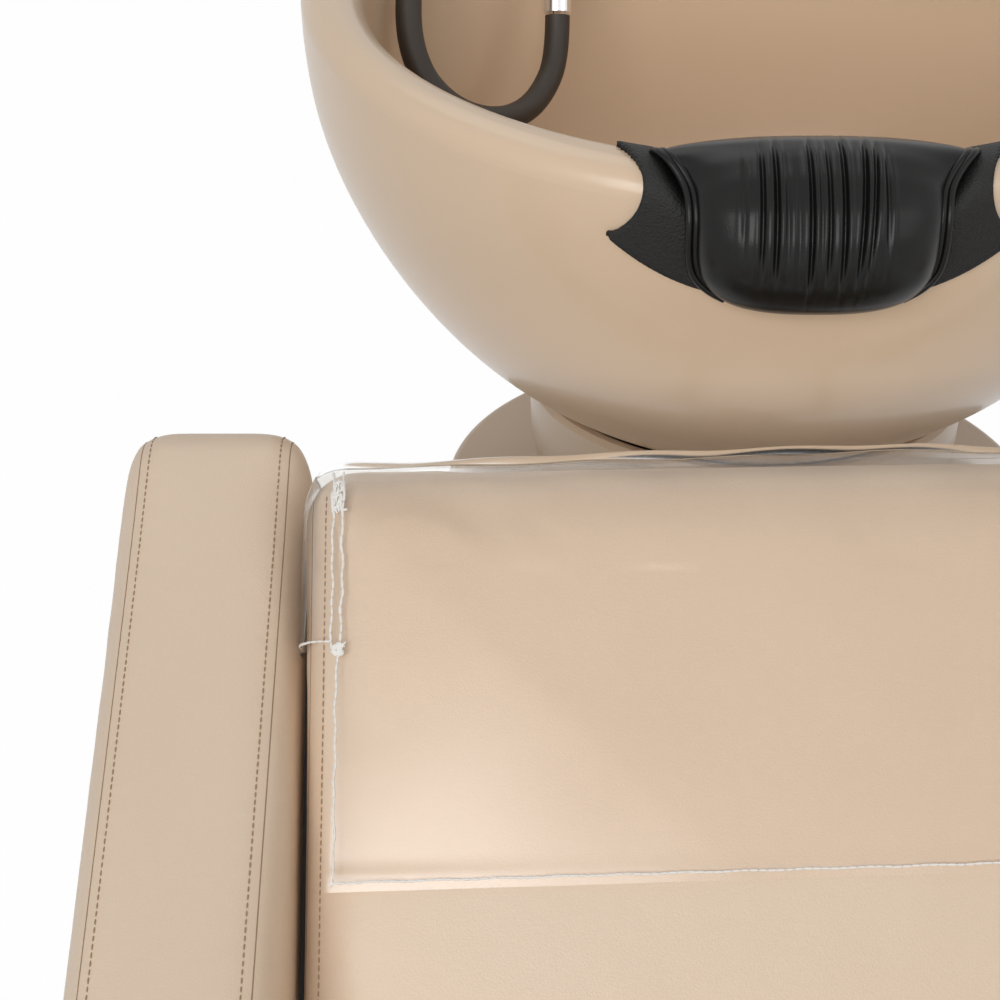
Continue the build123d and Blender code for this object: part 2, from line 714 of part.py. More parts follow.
def make_arms():
    """Upholstered side panels that sweep down from the backrest's top, and their brackets."""
    corners = [
        (arm_rear_y, arm_base_height, arm_base_turn),
        (arm_tail_y, arm_tail_height, arm_tail_turn),
        (arm_peak_y, arm_peak_height, arm_peak_turn),
        (arm_dip_y, arm_dip_height, arm_dip_turn),
        (-half_depth, arm_front_height, arm_front_turn),
        (-half_depth, arm_base_height, arm_base_turn),
    ]
    turns = [turn for _, _, turn in corners]
    outline = FilletPolyline(*[(y, z) for y, z, _ in corners], radius=turns, close=True)
    plane = Plane(origin=(arm_inner, 0, 0), x_dir=(0, 1, 0), z_dir=(1, 0, 0))
    arm = extrude(plane * make_face(outline), amount=arm_thickness)
    rims = arm.edges().filter_by(lambda edge: edge.bounding_box().size.X < overrun)
    arm = fillet(rims, arm_rounding)
    keep("arm_right", arm)
    keep("arm_left", mirrored(arm))
    brackets = []
    for middle in (front_post_y + tube_width, rear_post_y - tube_width):
        piece = block(
            (rail_spacing / 2 + tube_width / 2, arm_inner),
            (middle - tube_width, middle + tube_width),
            (seat_rail_top - tube_height, seat_rail_top),
        )
        brackets += [piece, mirrored(piece)]
    keep("arm_brackets", Compound([piece.solids()[0] for piece in brackets]))


def square_tube(low, high, axis):
    """A rectangular steel tube between two corners, open along one axis."""
    ranges = list(zip(low, high))
    hollow = [
        (start - overrun, end + overrun) if index == axis else (start + tube_wall, end - tube_wall)
        for index, (start, end) in enumerate(ranges)
    ]
    return block(*ranges) - block(*hollow)


def make_frame():
    """Floor rails, posts, seat rails, cross tubes, mounting plate and levelling feet."""
    rear = basin_y - mount_pad_reach - plate_thickness
    half = tube_width / 2
    for name, side in (("left", -1), ("right", 1)):
        x = side * rail_spacing / 2
        floor_rail = square_tube((x - half, floor_rail_front, rail_base), (x + half, rear, rail_top), 1)
        keep(f"floor_rail_{name}", floor_rail)
        low = seat_rail_top - tube_height
        seat_rail = square_tube((x - half, seat_rail_front, low), (x + half, seat_rail_rear, seat_rail_top), 1)
        keep(f"seat_rail_{name}", seat_rail)
        for place, y in (("front", front_post_y), ("rear", rear_post_y)):
            post = square_tube((x - half, y - half, rail_top), (x + half, y + half, low), 2)
            keep(f"{place}_post_{name}", post)
    inside = rail_spacing / 2 - half
    for name, y, z in (
        ("floor_cross_tube", rear - tube_width, rail_base),
        ("front_cross_tube", seat_rail_front, seat_rail_top - tube_height),
        ("rear_cross_tube", rear_post_y - half, seat_rail_top - tube_height),
    ):
        keep(name, square_tube((-inside, y, z), (inside, y + tube_width, z + tube_height), 0))
    half_pad = mount_pad_width / 2
    plate_y = (rear, rear + plate_thickness)
    keep("mounting_plate", block((-half_pad, half_pad), plate_y, (rail_base, mount_pad_top)))
    feet = []
    for y in (floor_rail_front + tube_width, rear - 2 * tube_width):
        for x in (-rail_spacing / 2, rail_spacing / 2):
            foot = rod((x, y, 0), (x, y, foot_height / 2), foot_radius)
            foot = fillet(foot.edges().group_by(Axis.Z)[-1], foot_height / 8)
            foot += rod((x, y, foot_height / 2), (x, y, foot_height), foot_radius / 3)
            feet.append(foot.solids()[0])
    keep("levelling_feet", Compound(feet))


make_basin()
make_tilt_rocker()
make_pedestal()
make_waste()
make_mixer()
make_hand_shower()
make_seat()
make_back()
make_arms()
make_frame()
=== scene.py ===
# %% [markdown]
# A salon backwash unit: a deep glossy basin tilts on a round pedestal, and a reclined armchair stands in
# front of it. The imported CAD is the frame. Hard pieces stay CAD meshes with new materials. Cushions and
# arms are inflated copies of their CAD solids, because foam under a cover swells between its seams and no
# plain solid shows that. The neck rest, the hoses, the clear cover, the seams and the threads are meshes
# and curves of their own that follow the CAD's places and sizes.

import json
from math import cos, radians, sin

import bmesh
import bpy
import numpy as np
from mathutils import Matrix, Vector
from mathutils.bvhtree import BVHTree


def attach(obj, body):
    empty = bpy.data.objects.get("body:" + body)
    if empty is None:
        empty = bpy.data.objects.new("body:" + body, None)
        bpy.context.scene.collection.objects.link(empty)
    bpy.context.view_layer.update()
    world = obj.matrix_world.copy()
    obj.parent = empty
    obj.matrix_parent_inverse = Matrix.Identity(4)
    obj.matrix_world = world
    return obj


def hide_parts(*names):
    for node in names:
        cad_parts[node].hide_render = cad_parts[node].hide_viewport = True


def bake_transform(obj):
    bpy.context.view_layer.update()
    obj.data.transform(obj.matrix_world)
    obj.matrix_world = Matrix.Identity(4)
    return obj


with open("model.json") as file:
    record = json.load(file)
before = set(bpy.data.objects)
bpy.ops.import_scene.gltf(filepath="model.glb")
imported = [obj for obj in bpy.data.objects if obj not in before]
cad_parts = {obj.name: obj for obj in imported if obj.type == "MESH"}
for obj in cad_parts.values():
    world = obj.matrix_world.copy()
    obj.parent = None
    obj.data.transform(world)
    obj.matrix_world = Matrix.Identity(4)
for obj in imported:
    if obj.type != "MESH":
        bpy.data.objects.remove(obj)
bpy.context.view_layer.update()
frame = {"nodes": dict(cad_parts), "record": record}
nodes = frame["nodes"]

# %% [markdown]
# Sizes in metres. The backrest's own plane is used for everything that lies on it: x across, y up the
# slope, z out of the leather. The arm's outline uses the same corners and turns as the CAD.

# %% Named sizes
RECLINE = radians(50)
BACK = Matrix.Translation((0, 0.058, 0.850)) @ Matrix.Rotation(RECLINE, 4, "X")
BACK_WIDTH, BACK_LENGTH, BACK_THICKNESS = 0.494, 0.470, 0.084
BOARD = 0.015
ARM_INNER, ARM_OUTER = 0.252, 0.342
ARM_CORNERS = [
    (-0.020, 0.300, 0.040),
    (0.155, 0.806, 0.034),
    (0.130, 0.843, 0.026),
    (-0.175, 0.686, 0.250),
    (-0.680, 0.590, 0.070),
    (-0.680, 0.300, 0.040),
]
HOSE_ROUTE = [
    (-187, 546, 1049), (-195, 519, 1042), (-200, 494, 1024), (-207, 472, 998), (-213, 452, 968),
    (-212, 436, 943), (-204, 426, 923), (-191, 422, 909), (-176, 428, 898), (-159, 440, 891),
    (-143, 460, 889), (-130, 484, 894), (-120, 508, 910), (-120, 519, 935),
]
HOSE_LENGTH, HOSE_RADIUS = 0.354, 0.008
print("backrest plane", [round(v, 3) for v in BACK.translation])

# %% [markdown]
# Shader maths reads better as arithmetic. A Wire is one output socket that can be added or multiplied,
# and a Paint is one material with a method for every other kind of node.

# %% A small shader language
class Wire:
    """One shader socket that takes part in arithmetic."""

    def __init__(self, paint, socket):
        self.paint = paint
        self.socket = socket

    def math(self, operation, *others):
        node = self.paint.tree.nodes.new("ShaderNodeMath")
        node.operation = operation
        for index, value in enumerate((self, *others)):
            self.paint.plug(value, node.inputs[index])
        return Wire(self.paint, node.outputs[0])

    def __add__(self, other):
        return self.math("ADD", other)

    def __mul__(self, other):
        return self.math("MULTIPLY", other)

    def clamp(self):
        return self.math("MAXIMUM", 0.0).math("MINIMUM", 1.0)


class Paint:
    """A material built from a Principled shader and named helper nodes."""

    def __init__(self, name, colour, roughness, **settings):
        self.material = bpy.data.materials.new(name)
        self.material.use_nodes = True
        self.tree = self.material.node_tree
        self.main = next(n for n in self.tree.nodes if n.type == "BSDF_PRINCIPLED")
        self.output = next(n for n in self.tree.nodes if n.type == "OUTPUT_MATERIAL")
        self.main.inputs["Base Color"].default_value = (*colour, 1)
        self.main.inputs["Roughness"].default_value = roughness
        for key, value in settings.items():
            self.main.inputs[key.replace("_", " ")].default_value = value

    def plug(self, value, target):
        if isinstance(value, Wire):
            self.tree.links.new(value.socket, target)
        else:
            target.default_value = value

    def node(self, kind, output=0, settings=(), **inputs):
        node = self.tree.nodes.new(kind)
        for key, value in dict(settings).items():
            setattr(node, key, value)
        for key, value in inputs.items():
            self.plug(value, node.inputs[key.replace("_", " ")])
        return Wire(self, node.outputs[output])

    def place(self):
        return self.node("ShaderNodeTexCoord", output="Object")

    def noise(self, scale, detail=2.0, rough=0.5):
        return self.node("ShaderNodeTexNoise", output="Fac", Vector=self.place(), Scale=scale, Detail=detail,
                         Roughness=rough)

    def cells(self, scale):
        return self.node("ShaderNodeTexVoronoi", output="Distance", settings={"feature": "F1"},
                         Vector=self.place(), Scale=scale)

    def mix(self, factor, low, high):
        node = self.tree.nodes.new("ShaderNodeMix")
        node.data_type = "RGBA"
        self.plug(factor, node.inputs["Factor"])
        node.inputs[6].default_value = (*low, 1)
        node.inputs[7].default_value = (*high, 1)
        return Wire(self, node.outputs[2])

    def colour(self, wire):
        self.plug(wire, self.main.inputs["Base Color"])
        return self

    def rough(self, wire):
        self.plug(wire, self.main.inputs["Roughness"])
        return self

    def bump(self, height, distance, strength=1.0):
        wire = self.node(
            "ShaderNodeBump", output="Normal", Height=height, Distance=distance, Strength=strength
        )
        self.plug(wire, self.main.inputs["Normal"])
        return self


# %% [markdown]
# One material for each slot of the record. Leather and rubber get a grain from cells of about a
# millimetre; the basin and chrome stay almost clean, with a little variation in their sheen.

# %% Materials
paints = {}


def paint(slot, colour, roughness, **settings):
    paints[slot] = Paint(slot, colour, roughness, **settings)
    return paints[slot]


gloss = paint("basin_gloss", (0.730, 0.550, 0.385), 0.32, Coat_Weight=0.25, Coat_Roughness=0.12)
gloss.rough(gloss.noise(22.0, 3.0) * 0.02 + 0.31)
satin = paint("pedestal_satin", (0.650, 0.505, 0.365), 0.34, Specular_IOR_Level=0.35)
satin.rough(satin.noise(30.0, 3.0) * 0.08 + 0.28)

hide = paint("leather", (0.740, 0.585, 0.440), 0.44)
hide.colour(hide.mix(hide.noise(9.0, 3.0), (0.715, 0.560, 0.415), (0.765, 0.610, 0.465)))
grain = hide.cells(950.0) * 0.7 + hide.noise(2400.0, 2.0) * 0.3
hide.bump(grain + hide.noise(26.0, 2.0) * 5.0, 0.00022, 0.55)

rubber = paint("saddle_rubber", (0.012, 0.0115, 0.011), 0.55, Specular_IOR_Level=0.3)
rubber.bump(rubber.cells(780.0) * 0.6 + rubber.noise(1300.0, 3.0, 0.6) * 0.6, 0.0007, 0.85)
vinyl = paint("pad_vinyl", (0.006, 0.0057, 0.0054), 0.28, Specular_IOR_Level=0.24)
vinyl.bump(vinyl.noise(1500.0, 2.0), 0.0002, 0.35)

hose_paint = paint("hose_rubber", (0.030, 0.021, 0.014), 0.55)
hose_paint.bump(hose_paint.noise(1600.0, 2.0), 0.00015, 0.4)
paint("chrome", (0.86, 0.86, 0.87), 0.07, Metallic=1.0)
steel = paint("steel", (0.55, 0.55, 0.56), 0.32, Metallic=1.0)
steel.rough(steel.noise(160.0, 3.0) * 0.15 + 0.25)
black = paint("frame_black", (0.022, 0.022, 0.023), 0.42)
black.bump(black.noise(900.0, 2.0), 0.0001, 0.4)
wood = paint("plywood", (0.52, 0.36, 0.20), 0.6)
wood.colour(wood.mix(wood.noise(14.0, 5.0), (0.45, 0.30, 0.16), (0.60, 0.43, 0.26)))
paint("waste_plastic", (0.62, 0.62, 0.61), 0.42)
paint("foot_rubber", (0.02, 0.02, 0.02), 0.6)
paint("thread_brown", (0.36, 0.235, 0.145), 0.75)
paint("thread_white", (0.86, 0.84, 0.80), 0.6)
paint("seam_shade", (0.30, 0.20, 0.13), 0.8)

film = paint("clear_pvc", (0.95, 0.95, 0.93), 0.08)
clear = film.node("ShaderNodeBsdfTransparent", Color=(0.992, 0.988, 0.978, 1))
shine = film.node("ShaderNodeBsdfGlossy", Color=(1, 1, 1, 1), Roughness=0.20)
edge = film.node("ShaderNodeFresnel", IOR=1.45)
blended = film.node("ShaderNodeMixShader", Fac=(edge * 1.05 + 0.03).clamp())
mixer = blended.socket.node
film.plug(clear, mixer.inputs[1])
film.plug(shine, mixer.inputs[2])
film.plug(blended, film.output.inputs["Surface"])

slot_of = {part["node"]: part["material_slot"] for part in frame["record"]["subparts"]}
for name, obj in nodes.items():
    obj.data.materials.clear()
    obj.data.materials.append(paints[slot_of[name]].material)
print(len(paints), "materials on", len(slot_of), "nodes")

# %% [markdown]
# Helpers that make meshes. Every object stays at the origin with its place in its vertices, so it can
# ride on a CAD body without an offset.

# %% Mesh helpers
def add_mesh(name, points, faces, slot, smooth=True, edges=()):
    mesh = bpy.data.meshes.new(name)
    mesh.from_pydata([tuple(p) for p in points], list(edges), faces)
    mesh.update()
    if smooth and faces:
        mesh.polygons.foreach_set("use_smooth", [True] * len(mesh.polygons))
    mesh.materials.append(paints[slot].material)
    obj = bpy.data.objects.new(name, mesh)
    bpy.context.scene.collection.objects.link(obj)
    return obj


def frozen(obj):
    """Replaces obj's mesh by the result of its modifiers."""
    graph = bpy.context.evaluated_depsgraph_get()
    mesh = bpy.data.meshes.new_from_object(obj.evaluated_get(graph), depsgraph=graph)
    obj.modifiers.clear()
    obj.data = mesh
    return obj


def coordinates(obj):
    flat = np.empty(len(obj.data.vertices) * 3)
    obj.data.vertices.foreach_get("co", flat)
    return flat.reshape(-1, 3)


def set_coordinates(obj, points):
    obj.data.vertices.foreach_set("co", np.asarray(points).ravel())
    obj.data.update()


def normals(obj):
    flat = np.empty(len(obj.data.vertices) * 3)
    obj.data.vertex_normals.foreach_get("vector", flat)
    return flat.reshape(-1, 3)


def remeshed_copy(node, name, voxel, smoothing=0):
    """An even copy of a CAD solid, ready to be shaped."""
    obj = bpy.data.objects.new(name, nodes[node].data.copy())
    bpy.context.scene.collection.objects.link(obj)
    remesh = obj.modifiers.new("Even", "REMESH")
    remesh.mode = "VOXEL"
    remesh.voxel_size = voxel
    if smoothing:
        smooth = obj.modifiers.new("Soft", "SMOOTH")
        smooth.iterations = smoothing
    frozen(obj)
    obj.data.polygons.foreach_set("use_smooth", [True] * len(obj.data.polygons))
    obj.data.materials.clear()
    obj.data.materials.append(paints[slot_of[node]].material)
    return obj


def inflated(node, name, voxel, pressure, cap):
    """A cushion: the solid's skin blown up a little as cloth, and never moved more than cap."""
    obj = remeshed_copy(node, name, voxel, 2)
    rest = coordinates(obj)
    cloth = obj.modifiers.new("Cloth", "CLOTH")
    cloth.settings.use_pressure = True
    cloth.settings.uniform_pressure_force = pressure
    cloth.settings.effector_weights.gravity = 0.0
    cloth.settings.tension_stiffness = 20
    cloth.settings.compression_stiffness = 20
    cloth.settings.bending_stiffness = 0.5
    cloth.point_cache.frame_start = 1
    cloth.point_cache.frame_end = 20
    for step in range(1, 21):
        bpy.context.scene.frame_set(step)
    frozen(obj)
    moved = coordinates(obj) - rest
    length = np.linalg.norm(moved, axis=1, keepdims=True)
    set_coordinates(obj, rest + moved * np.minimum(1, cap / np.maximum(length, 1e-9)))
    bpy.context.scene.frame_set(1)
    obj.modifiers.new("Finer", "SUBSURF").levels = 1
    frozen(obj)
    obj.data.polygons.foreach_set("use_smooth", [True] * len(obj.data.polygons))
    print(name, len(obj.data.polygons), "faces")
    return obj


# %% [markdown]
# Upholstery. Foam under leather bulges between its seams, so each cushion and arm is blown up as cloth
# from its CAD solid. The movement is capped, so that no cushion leaves the space its solid has. The
# backrest's top is crowned a few millimetres towards the slack of the cover that lies over it.

# %% Cushions and arms
SLACK_PLACES, SLACK = (-0.25, -0.12, 0.04, 0.18, 0.25), (0.003, 0.008, 0.012, 0.012, 0.004)
CROWN, CROWN_OF_SLACK, CROWN_REACH = 0.003, 0.8, 0.05
back = inflated("back_cushion", "back_leather", 0.005, 4.0, 0.003)
seat = inflated("seat_cushion", "seat_leather", 0.006, 4.0, 0.004)
arms = {
    -1: inflated("arm_left", "arm_leather_left", 0.006, 4.0, 0.0025),
    1: inflated("arm_right", "arm_leather_right", 0.006, 4.0, 0.0025),
}
for piece, wider in ((back, 1.022), (seat, 1.012)):
    set_coordinates(piece, coordinates(piece) * (wider, 1, 1))
back_points, up_back = coordinates(back), np.array(BACK.to_3x3() @ Vector((0, 1, 0)))
near_top = np.clip((back_points - np.array(BACK.translation)) @ up_back / CROWN_REACH + 1, 0, 1)
crown = CROWN + CROWN_OF_SLACK * np.interp(back_points[:, 0], SLACK_PLACES, SLACK)
set_coordinates(back, back_points + (crown * near_top ** 2)[:, None] * up_back)
upholstered = ((back, "back_cushion"), (seat, "seat_cushion"), (arms[-1], "arm_left"), (arms[1], "arm_right"))
for piece, node in upholstered:
    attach(piece, "stand")
    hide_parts(node)

# %% [markdown]
# Stitching. A seam is a line of points found by looking down on the leather along the outline. Geometry
# nodes then walk along it and lay one thread bead at every step, which keeps the pitch even on curves.

# %% Stitch builder
def make_stitcher():
    """A node group that turns an edge line into evenly pitched thread beads."""
    group = bpy.data.node_groups.new("thread_beads", "GeometryNodeTree")
    face = group.interface
    face.new_socket("Line", in_out="INPUT", socket_type="NodeSocketGeometry")
    for name, value in (("Pitch", 0.0037), ("Length", 0.003), ("Radius", 0.0005), ("Jitter", 0.12)):
        face.new_socket(name, in_out="INPUT", socket_type="NodeSocketFloat").default_value = value
    face.new_socket("Seed", in_out="INPUT", socket_type="NodeSocketInt").default_value = 3
    face.new_socket("Thread", in_out="INPUT", socket_type="NodeSocketMaterial")
    face.new_socket("Beads", in_out="OUTPUT", socket_type="NodeSocketGeometry")
    add = group.nodes.new
    link = group.links.new
    source, sink = add("NodeGroupInput"), add("NodeGroupOutput")
    curve = add("GeometryNodeMeshToCurve")
    walk = add("GeometryNodeCurveToPoints")
    walk.mode = "LENGTH"
    ball = add("GeometryNodeMeshUVSphere")
    ball.inputs["Segments"].default_value = 8
    ball.inputs["Rings"].default_value = 6
    ball.inputs["Radius"].default_value = 1.0
    size = add("ShaderNodeCombineXYZ")
    half = add("ShaderNodeMath")
    half.operation = "MULTIPLY"
    half.inputs[1].default_value = 0.5
    vary = add("FunctionNodeRandomValue")
    vary.data_type = "FLOAT"
    low = add("ShaderNodeMath")
    low.operation = "SUBTRACT"
    low.inputs[0].default_value = 1.0
    spread = add("ShaderNodeVectorMath")
    spread.operation = "SCALE"
    lay = add("GeometryNodeInstanceOnPoints")
    real = add("GeometryNodeRealizeInstances")
    soft = add("GeometryNodeSetShadeSmooth")
    dress = add("GeometryNodeSetMaterial")
    link(source.outputs["Line"], curve.inputs["Mesh"])
    link(curve.outputs["Curve"], walk.inputs["Curve"])
    link(source.outputs["Pitch"], walk.inputs["Length"])
    link(source.outputs["Radius"], size.inputs["X"])
    link(source.outputs["Radius"], size.inputs["Y"])
    link(source.outputs["Length"], half.inputs[0])
    link(half.outputs[0], size.inputs["Z"])
    link(source.outputs["Jitter"], low.inputs[1])
    link(low.outputs[0], vary.inputs["Min"])
    vary.inputs["Max"].default_value = 1.0
    link(source.outputs["Seed"], vary.inputs["Seed"])
    link(size.outputs[0], spread.inputs[0])
    link(vary.outputs[1], spread.inputs["Scale"])
    link(walk.outputs["Points"], lay.inputs["Points"])
    link(walk.outputs["Rotation"], lay.inputs["Rotation"])
    link(ball.outputs["Mesh"], lay.inputs["Instance"])
    link(spread.outputs[0], lay.inputs["Scale"])
    link(lay.outputs["Instances"], real.inputs["Geometry"])
    link(real.outputs["Geometry"], soft.inputs["Geometry"])
    link(soft.outputs["Geometry"], dress.inputs["Geometry"])
    link(source.outputs["Thread"], dress.inputs["Material"])
    link(dress.outputs["Geometry"], sink.inputs["Beads"])
    return group


stitcher = make_stitcher()


def stitched(name, runs, slot, body, pitch=0.0037, length=0.0030, radius=0.00045):
    """Thread beads along each run of points, as one piece."""
    points, edges = [], []
    for run in runs:
        first = len(points)
        points += [tuple(p) for p in run]
        edges += [(first + i, first + i + 1) for i in range(len(run) - 1)]
    obj = add_mesh(name, points, [], slot, edges=edges)
    modifier = obj.modifiers.new("Beads", "NODES")
    modifier.node_group = stitcher
    values = {"Pitch": pitch, "Length": length, "Radius": radius, "Thread": paints[slot].material}
    for item in stitcher.interface.items_tree:
        if item.name in values:
            modifier[item.identifier] = values[item.name]
    frozen(obj)
    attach(obj, body)
    print(name, len(obj.data.polygons), "faces")
    return obj


def line_tube(name, runs, radius, slot, body):
    """A thin round line along each run, such as a seam or a hem edge."""
    curve = bpy.data.curves.new(name, "CURVE")
    curve.dimensions = "3D"
    curve.bevel_depth = radius
    curve.bevel_resolution = 2
    curve.use_fill_caps = True
    for run in runs:
        spline = curve.splines.new("POLY")
        spline.points.add(len(run) - 1)
        for point, place in zip(spline.points, run):
            point.co = (*place, 1)
    curve.materials.append(paints[slot].material)
    obj = bpy.data.objects.new(name, curve)
    bpy.context.scene.collection.objects.link(obj)
    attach(obj, body)
    return obj


def rounded_outline(corners, step=0.004):
    """Points and outward normals along a closed outline with rounded corners, in the Y-Z plane."""
    count = len(corners)
    path = []
    for index, (y, z, radius) in enumerate(corners):
        here = Vector((y, z))
        before_way = (Vector(corners[index - 1][:2]) - here).normalized()
        after_way = (Vector(corners[(index + 1) % count][:2]) - here).normalized()
        half = before_way.angle(after_way) / 2
        tangent = radius / np.tan(half)
        centre = here + (before_way + after_way).normalized() * (radius / sin(half))
        start, end = here + before_way * tangent - centre, here + after_way * tangent - centre
        turn = start.angle_signed(end)
        for share in np.linspace(0, 1, 13):
            path.append(centre + Matrix.Rotation(-turn * share, 2) @ start)
    dense = []
    for a, b in zip(path, path[1:] + path[:1]):
        pieces = max(1, int((b - a).length / step))
        dense += [a.lerp(b, i / pieces) for i in range(pieces)]
    middle = Vector((-0.3, 0.5))
    outline = []
    for a, b, c in zip(dense[-1:] + dense[:-1], dense, dense[1:] + dense[:1]):
        along = (c - a).normalized()
        outward = Vector((along.y, -along.x))
        outline.append((b, outward if outward.dot(b - middle) > -1 else -outward))
    return outline


def looked_down(tree, start, way, lift):
    """The point on a surface seen from start, lifted a little off it."""
    place, normal, _, _ = tree.ray_cast(start, way)
    return None if place is None else place + normal * lift


# %% [markdown]
# The arms have two seams round their rims, each with a row of stitches inside it. The backrest has one
# down each side.

# %% Seams on arms and backrest
outline = rounded_outline(ARM_CORNERS)
area = sum(a[0].x * b[0].y - b[0].x * a[0].y for a, b in zip(outline, outline[1:] + outline[:1]))
for side, arm in arms.items():
    tree = BVHTree.FromObject(arm, bpy.context.evaluated_depsgraph_get())
    name = "left" if side < 0 else "right"
    rows, seams = [], []
    for offset, bucket, lift in ((0.013, rows, 0.00015), (0.0085, seams, -0.0001)):
        for x in (ARM_INNER + offset, ARM_OUTER - offset):
            run = []
            for place, outward in outline:
                way = outward if area > 0 else -outward
                start = Vector((side * x, place.x + way.x * 0.03, place.y + way.y * 0.03))
                found = looked_down(tree, start, Vector((0, -way.x, -way.y)), lift)
                if found:
                    run.append(found)
            bucket.append(run + run[:1])
    stitched(f"arm_stitching_{name}", rows, "thread_brown", "stand")
    line_tube(f"arm_seams_{name}", seams, 0.00035, "seam_shade", "stand")

tree = BVHTree.FromObject(back, bpy.context.evaluated_depsgraph_get())
out = (BACK.to_3x3() @ Vector((0, 0, 1))).normalized()
rows, seams = [], []
for offset, bucket, lift in ((0.009, rows, 0.00015), (0.0022, seams, -0.0001)):
    for side in (-1, 1):
        run = []
        for y in np.linspace(-0.012, -BACK_LENGTH + 0.012, 120):
            start = BACK @ Vector((side * (BACK_WIDTH / 2 - offset), y, 0.03))
            found = looked_down(tree, start, -out, lift)
            if found:
                run.append(found)
        bucket.append(run)
stitched("back_stitching", rows, "thread_brown", "stand")
line_tube("back_seams", seams, 0.00035, "seam_shade", "stand")

# A dark strip stands in the slot between each arm and the backrest, behind the leather's edge: painted shade
# for the shadow in that narrow gap, which also keeps light from below out of it.
strip_points, strip_faces = [], []
for side in (-1, 1):
    first = len(strip_points)
    for y in (-0.08, -BACK_LENGTH):
        for z in (-0.045, -0.060):
            for x in (0.238, 0.2522):
                strip_points.append(BACK @ Vector((side * x, y, z)))
    strip_faces += [[first + i for i in face] for face in (
        (0, 1, 3, 2), (4, 5, 7, 6), (0, 1, 5, 4), (2, 3, 7, 6), (0, 2, 6, 4), (1, 3, 7, 5))]
gap_shade = add_mesh("gap_shade_strip", strip_points, strip_faces, "foot_rubber", smooth=False)
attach(gap_shade, "stand")

# %% [markdown]
# The neck rest. The rubber saddle is a skin over the notch: a fine copy of the rim is softened, the skin is
# every face near the notch except those on the two horns, and its edge is moved onto the exact border. The
# pad is stretched between the two piping lines: each row runs from the left line over a swelling centre
# line to the right one, with narrow grooves pushed in where the vinyl is gathered.

# %% Neck saddle
NOTCH_CENTRE, NOTCH_FALL, SADDLE_RADIUS = np.array((0, 0.1845, 1.013)), radians(15), 0.128
HORN, HORN_RADIUS, SKIN = np.array((0.111, 0.182, 0.9425)), 0.0248, 0.0030
HORN_WAY, HORN_RISE = np.array((0.0458, 0.938, -0.343)), np.array((0.024, 0, 0.0225))
RIM_BOX_CENTRE, RIM_BOX_SIZE, RIM_VOXEL = (0, 0.17, 0.92), (0.32, 0.17, 0.16), 0.0013
SKIN_FRONT, SKIN_BACK, SKIN_FOOT, RUBBER_THICKNESS = 0.09, 0.250, 0.845, 0.0028
EDGE_PULL = 2 * RIM_VOXEL
fall_way = np.array((0, -cos(NOTCH_FALL), -sin(NOTCH_FALL)))


def local_rim():
    """The front of the basin's rim alone, as a fine even mesh with softened edges."""
    obj = bpy.data.objects.new("neck_saddle_skin", nodes["basin"].data.copy())
    bpy.context.scene.collection.objects.link(obj)
    bpy.ops.mesh.primitive_cube_add(size=1, location=RIM_BOX_CENTRE)
    box = bpy.context.object
    box.scale = RIM_BOX_SIZE
    bpy.context.view_layer.update()
    keep = obj.modifiers.new("Near", "BOOLEAN")
    keep.operation = "INTERSECT"
    keep.object = box
    even = obj.modifiers.new("Even", "REMESH")
    even.mode = "VOXEL"
    even.voxel_size = RIM_VOXEL
    soft = obj.modifiers.new("Soft", "SMOOTH")
    soft.iterations = 60
    frozen(obj)
    bpy.data.objects.remove(box)
    return obj


def notch_border(points):
    """How far inside the saddle's outer border each point lies, and the way that grows fastest."""
    offset = points - NOTCH_CENTRE
    across = offset - np.outer(offset @ fall_way, fall_way)
    length = np.linalg.norm(across, axis=1)
    side = np.abs(points[:, 0])
    under_pad, outward = 0.004 * np.exp(-(side / 0.034) ** 2), 0.012 * np.clip((side - 0.055) / 0.048, 0, 1)
    reach = SADDLE_RADIUS - under_pad + outward
    return reach - length, -across / length[:, None]


def horn_border(points, side):
    """The same for the round end of the rim on one side: a bore through the skin, open towards the rim."""
    way = HORN_WAY * (-side, 1, 1) / np.linalg.norm(HORN_WAY)
    offset, rise = points - HORN * (side, 1, 1), HORN_RISE * (side, 1, 1)
    offset = offset - np.outer(offset @ way, way)
    rise = rise - (rise @ way) * way
    offset -= np.outer(np.clip(offset @ rise / (rise @ rise), 0, 1), rise)
    length = np.linalg.norm(offset, axis=1) + 1e-9
    return length - HORN_RADIUS, offset / length[:, None]


rim_copy = local_rim()
points = coordinates(rim_copy) + normals(rim_copy) * SKIN
faces = np.array([tuple(f.vertices) for f in rim_copy.data.polygons if len(f.vertices) == 4])
borders = [notch_border(points), horn_border(points, -1), horn_border(points, 1)]
inside = np.min([value for value, _ in borders], axis=0) > 0
inside &= (points[:, 1] < SKIN_BACK) & (points[:, 1] > SKIN_FRONT) & (points[:, 2] > SKIN_FOOT)
chosen = faces[inside[faces].all(axis=1)]
edges = np.sort(np.concatenate([chosen[:, [i, (i + 1) % 4]] for i in range(4)]), axis=1)
unique, counts = np.unique(edges, axis=0, return_counts=True)
rim_points = np.unique(unique[counts == 1])
for value, way in borders:
    close = rim_points[value[rim_points] < EDGE_PULL]
    points[close] -= way[close] * value[close, None]
used, renumbered = np.unique(chosen, return_inverse=True)
saddle = add_mesh("neck_saddle_rubber", points[used], renumbered.reshape(-1, 4).tolist(), "saddle_rubber")
bpy.data.objects.remove(rim_copy)
thick = saddle.modifiers.new("Thick", "SOLIDIFY")
thick.thickness = RUBBER_THICKNESS
thick.offset = -1
frozen(saddle)
saddle.data.polygons.foreach_set("use_smooth", [True] * len(saddle.data.polygons))
print("saddle", len(saddle.data.polygons), "faces")

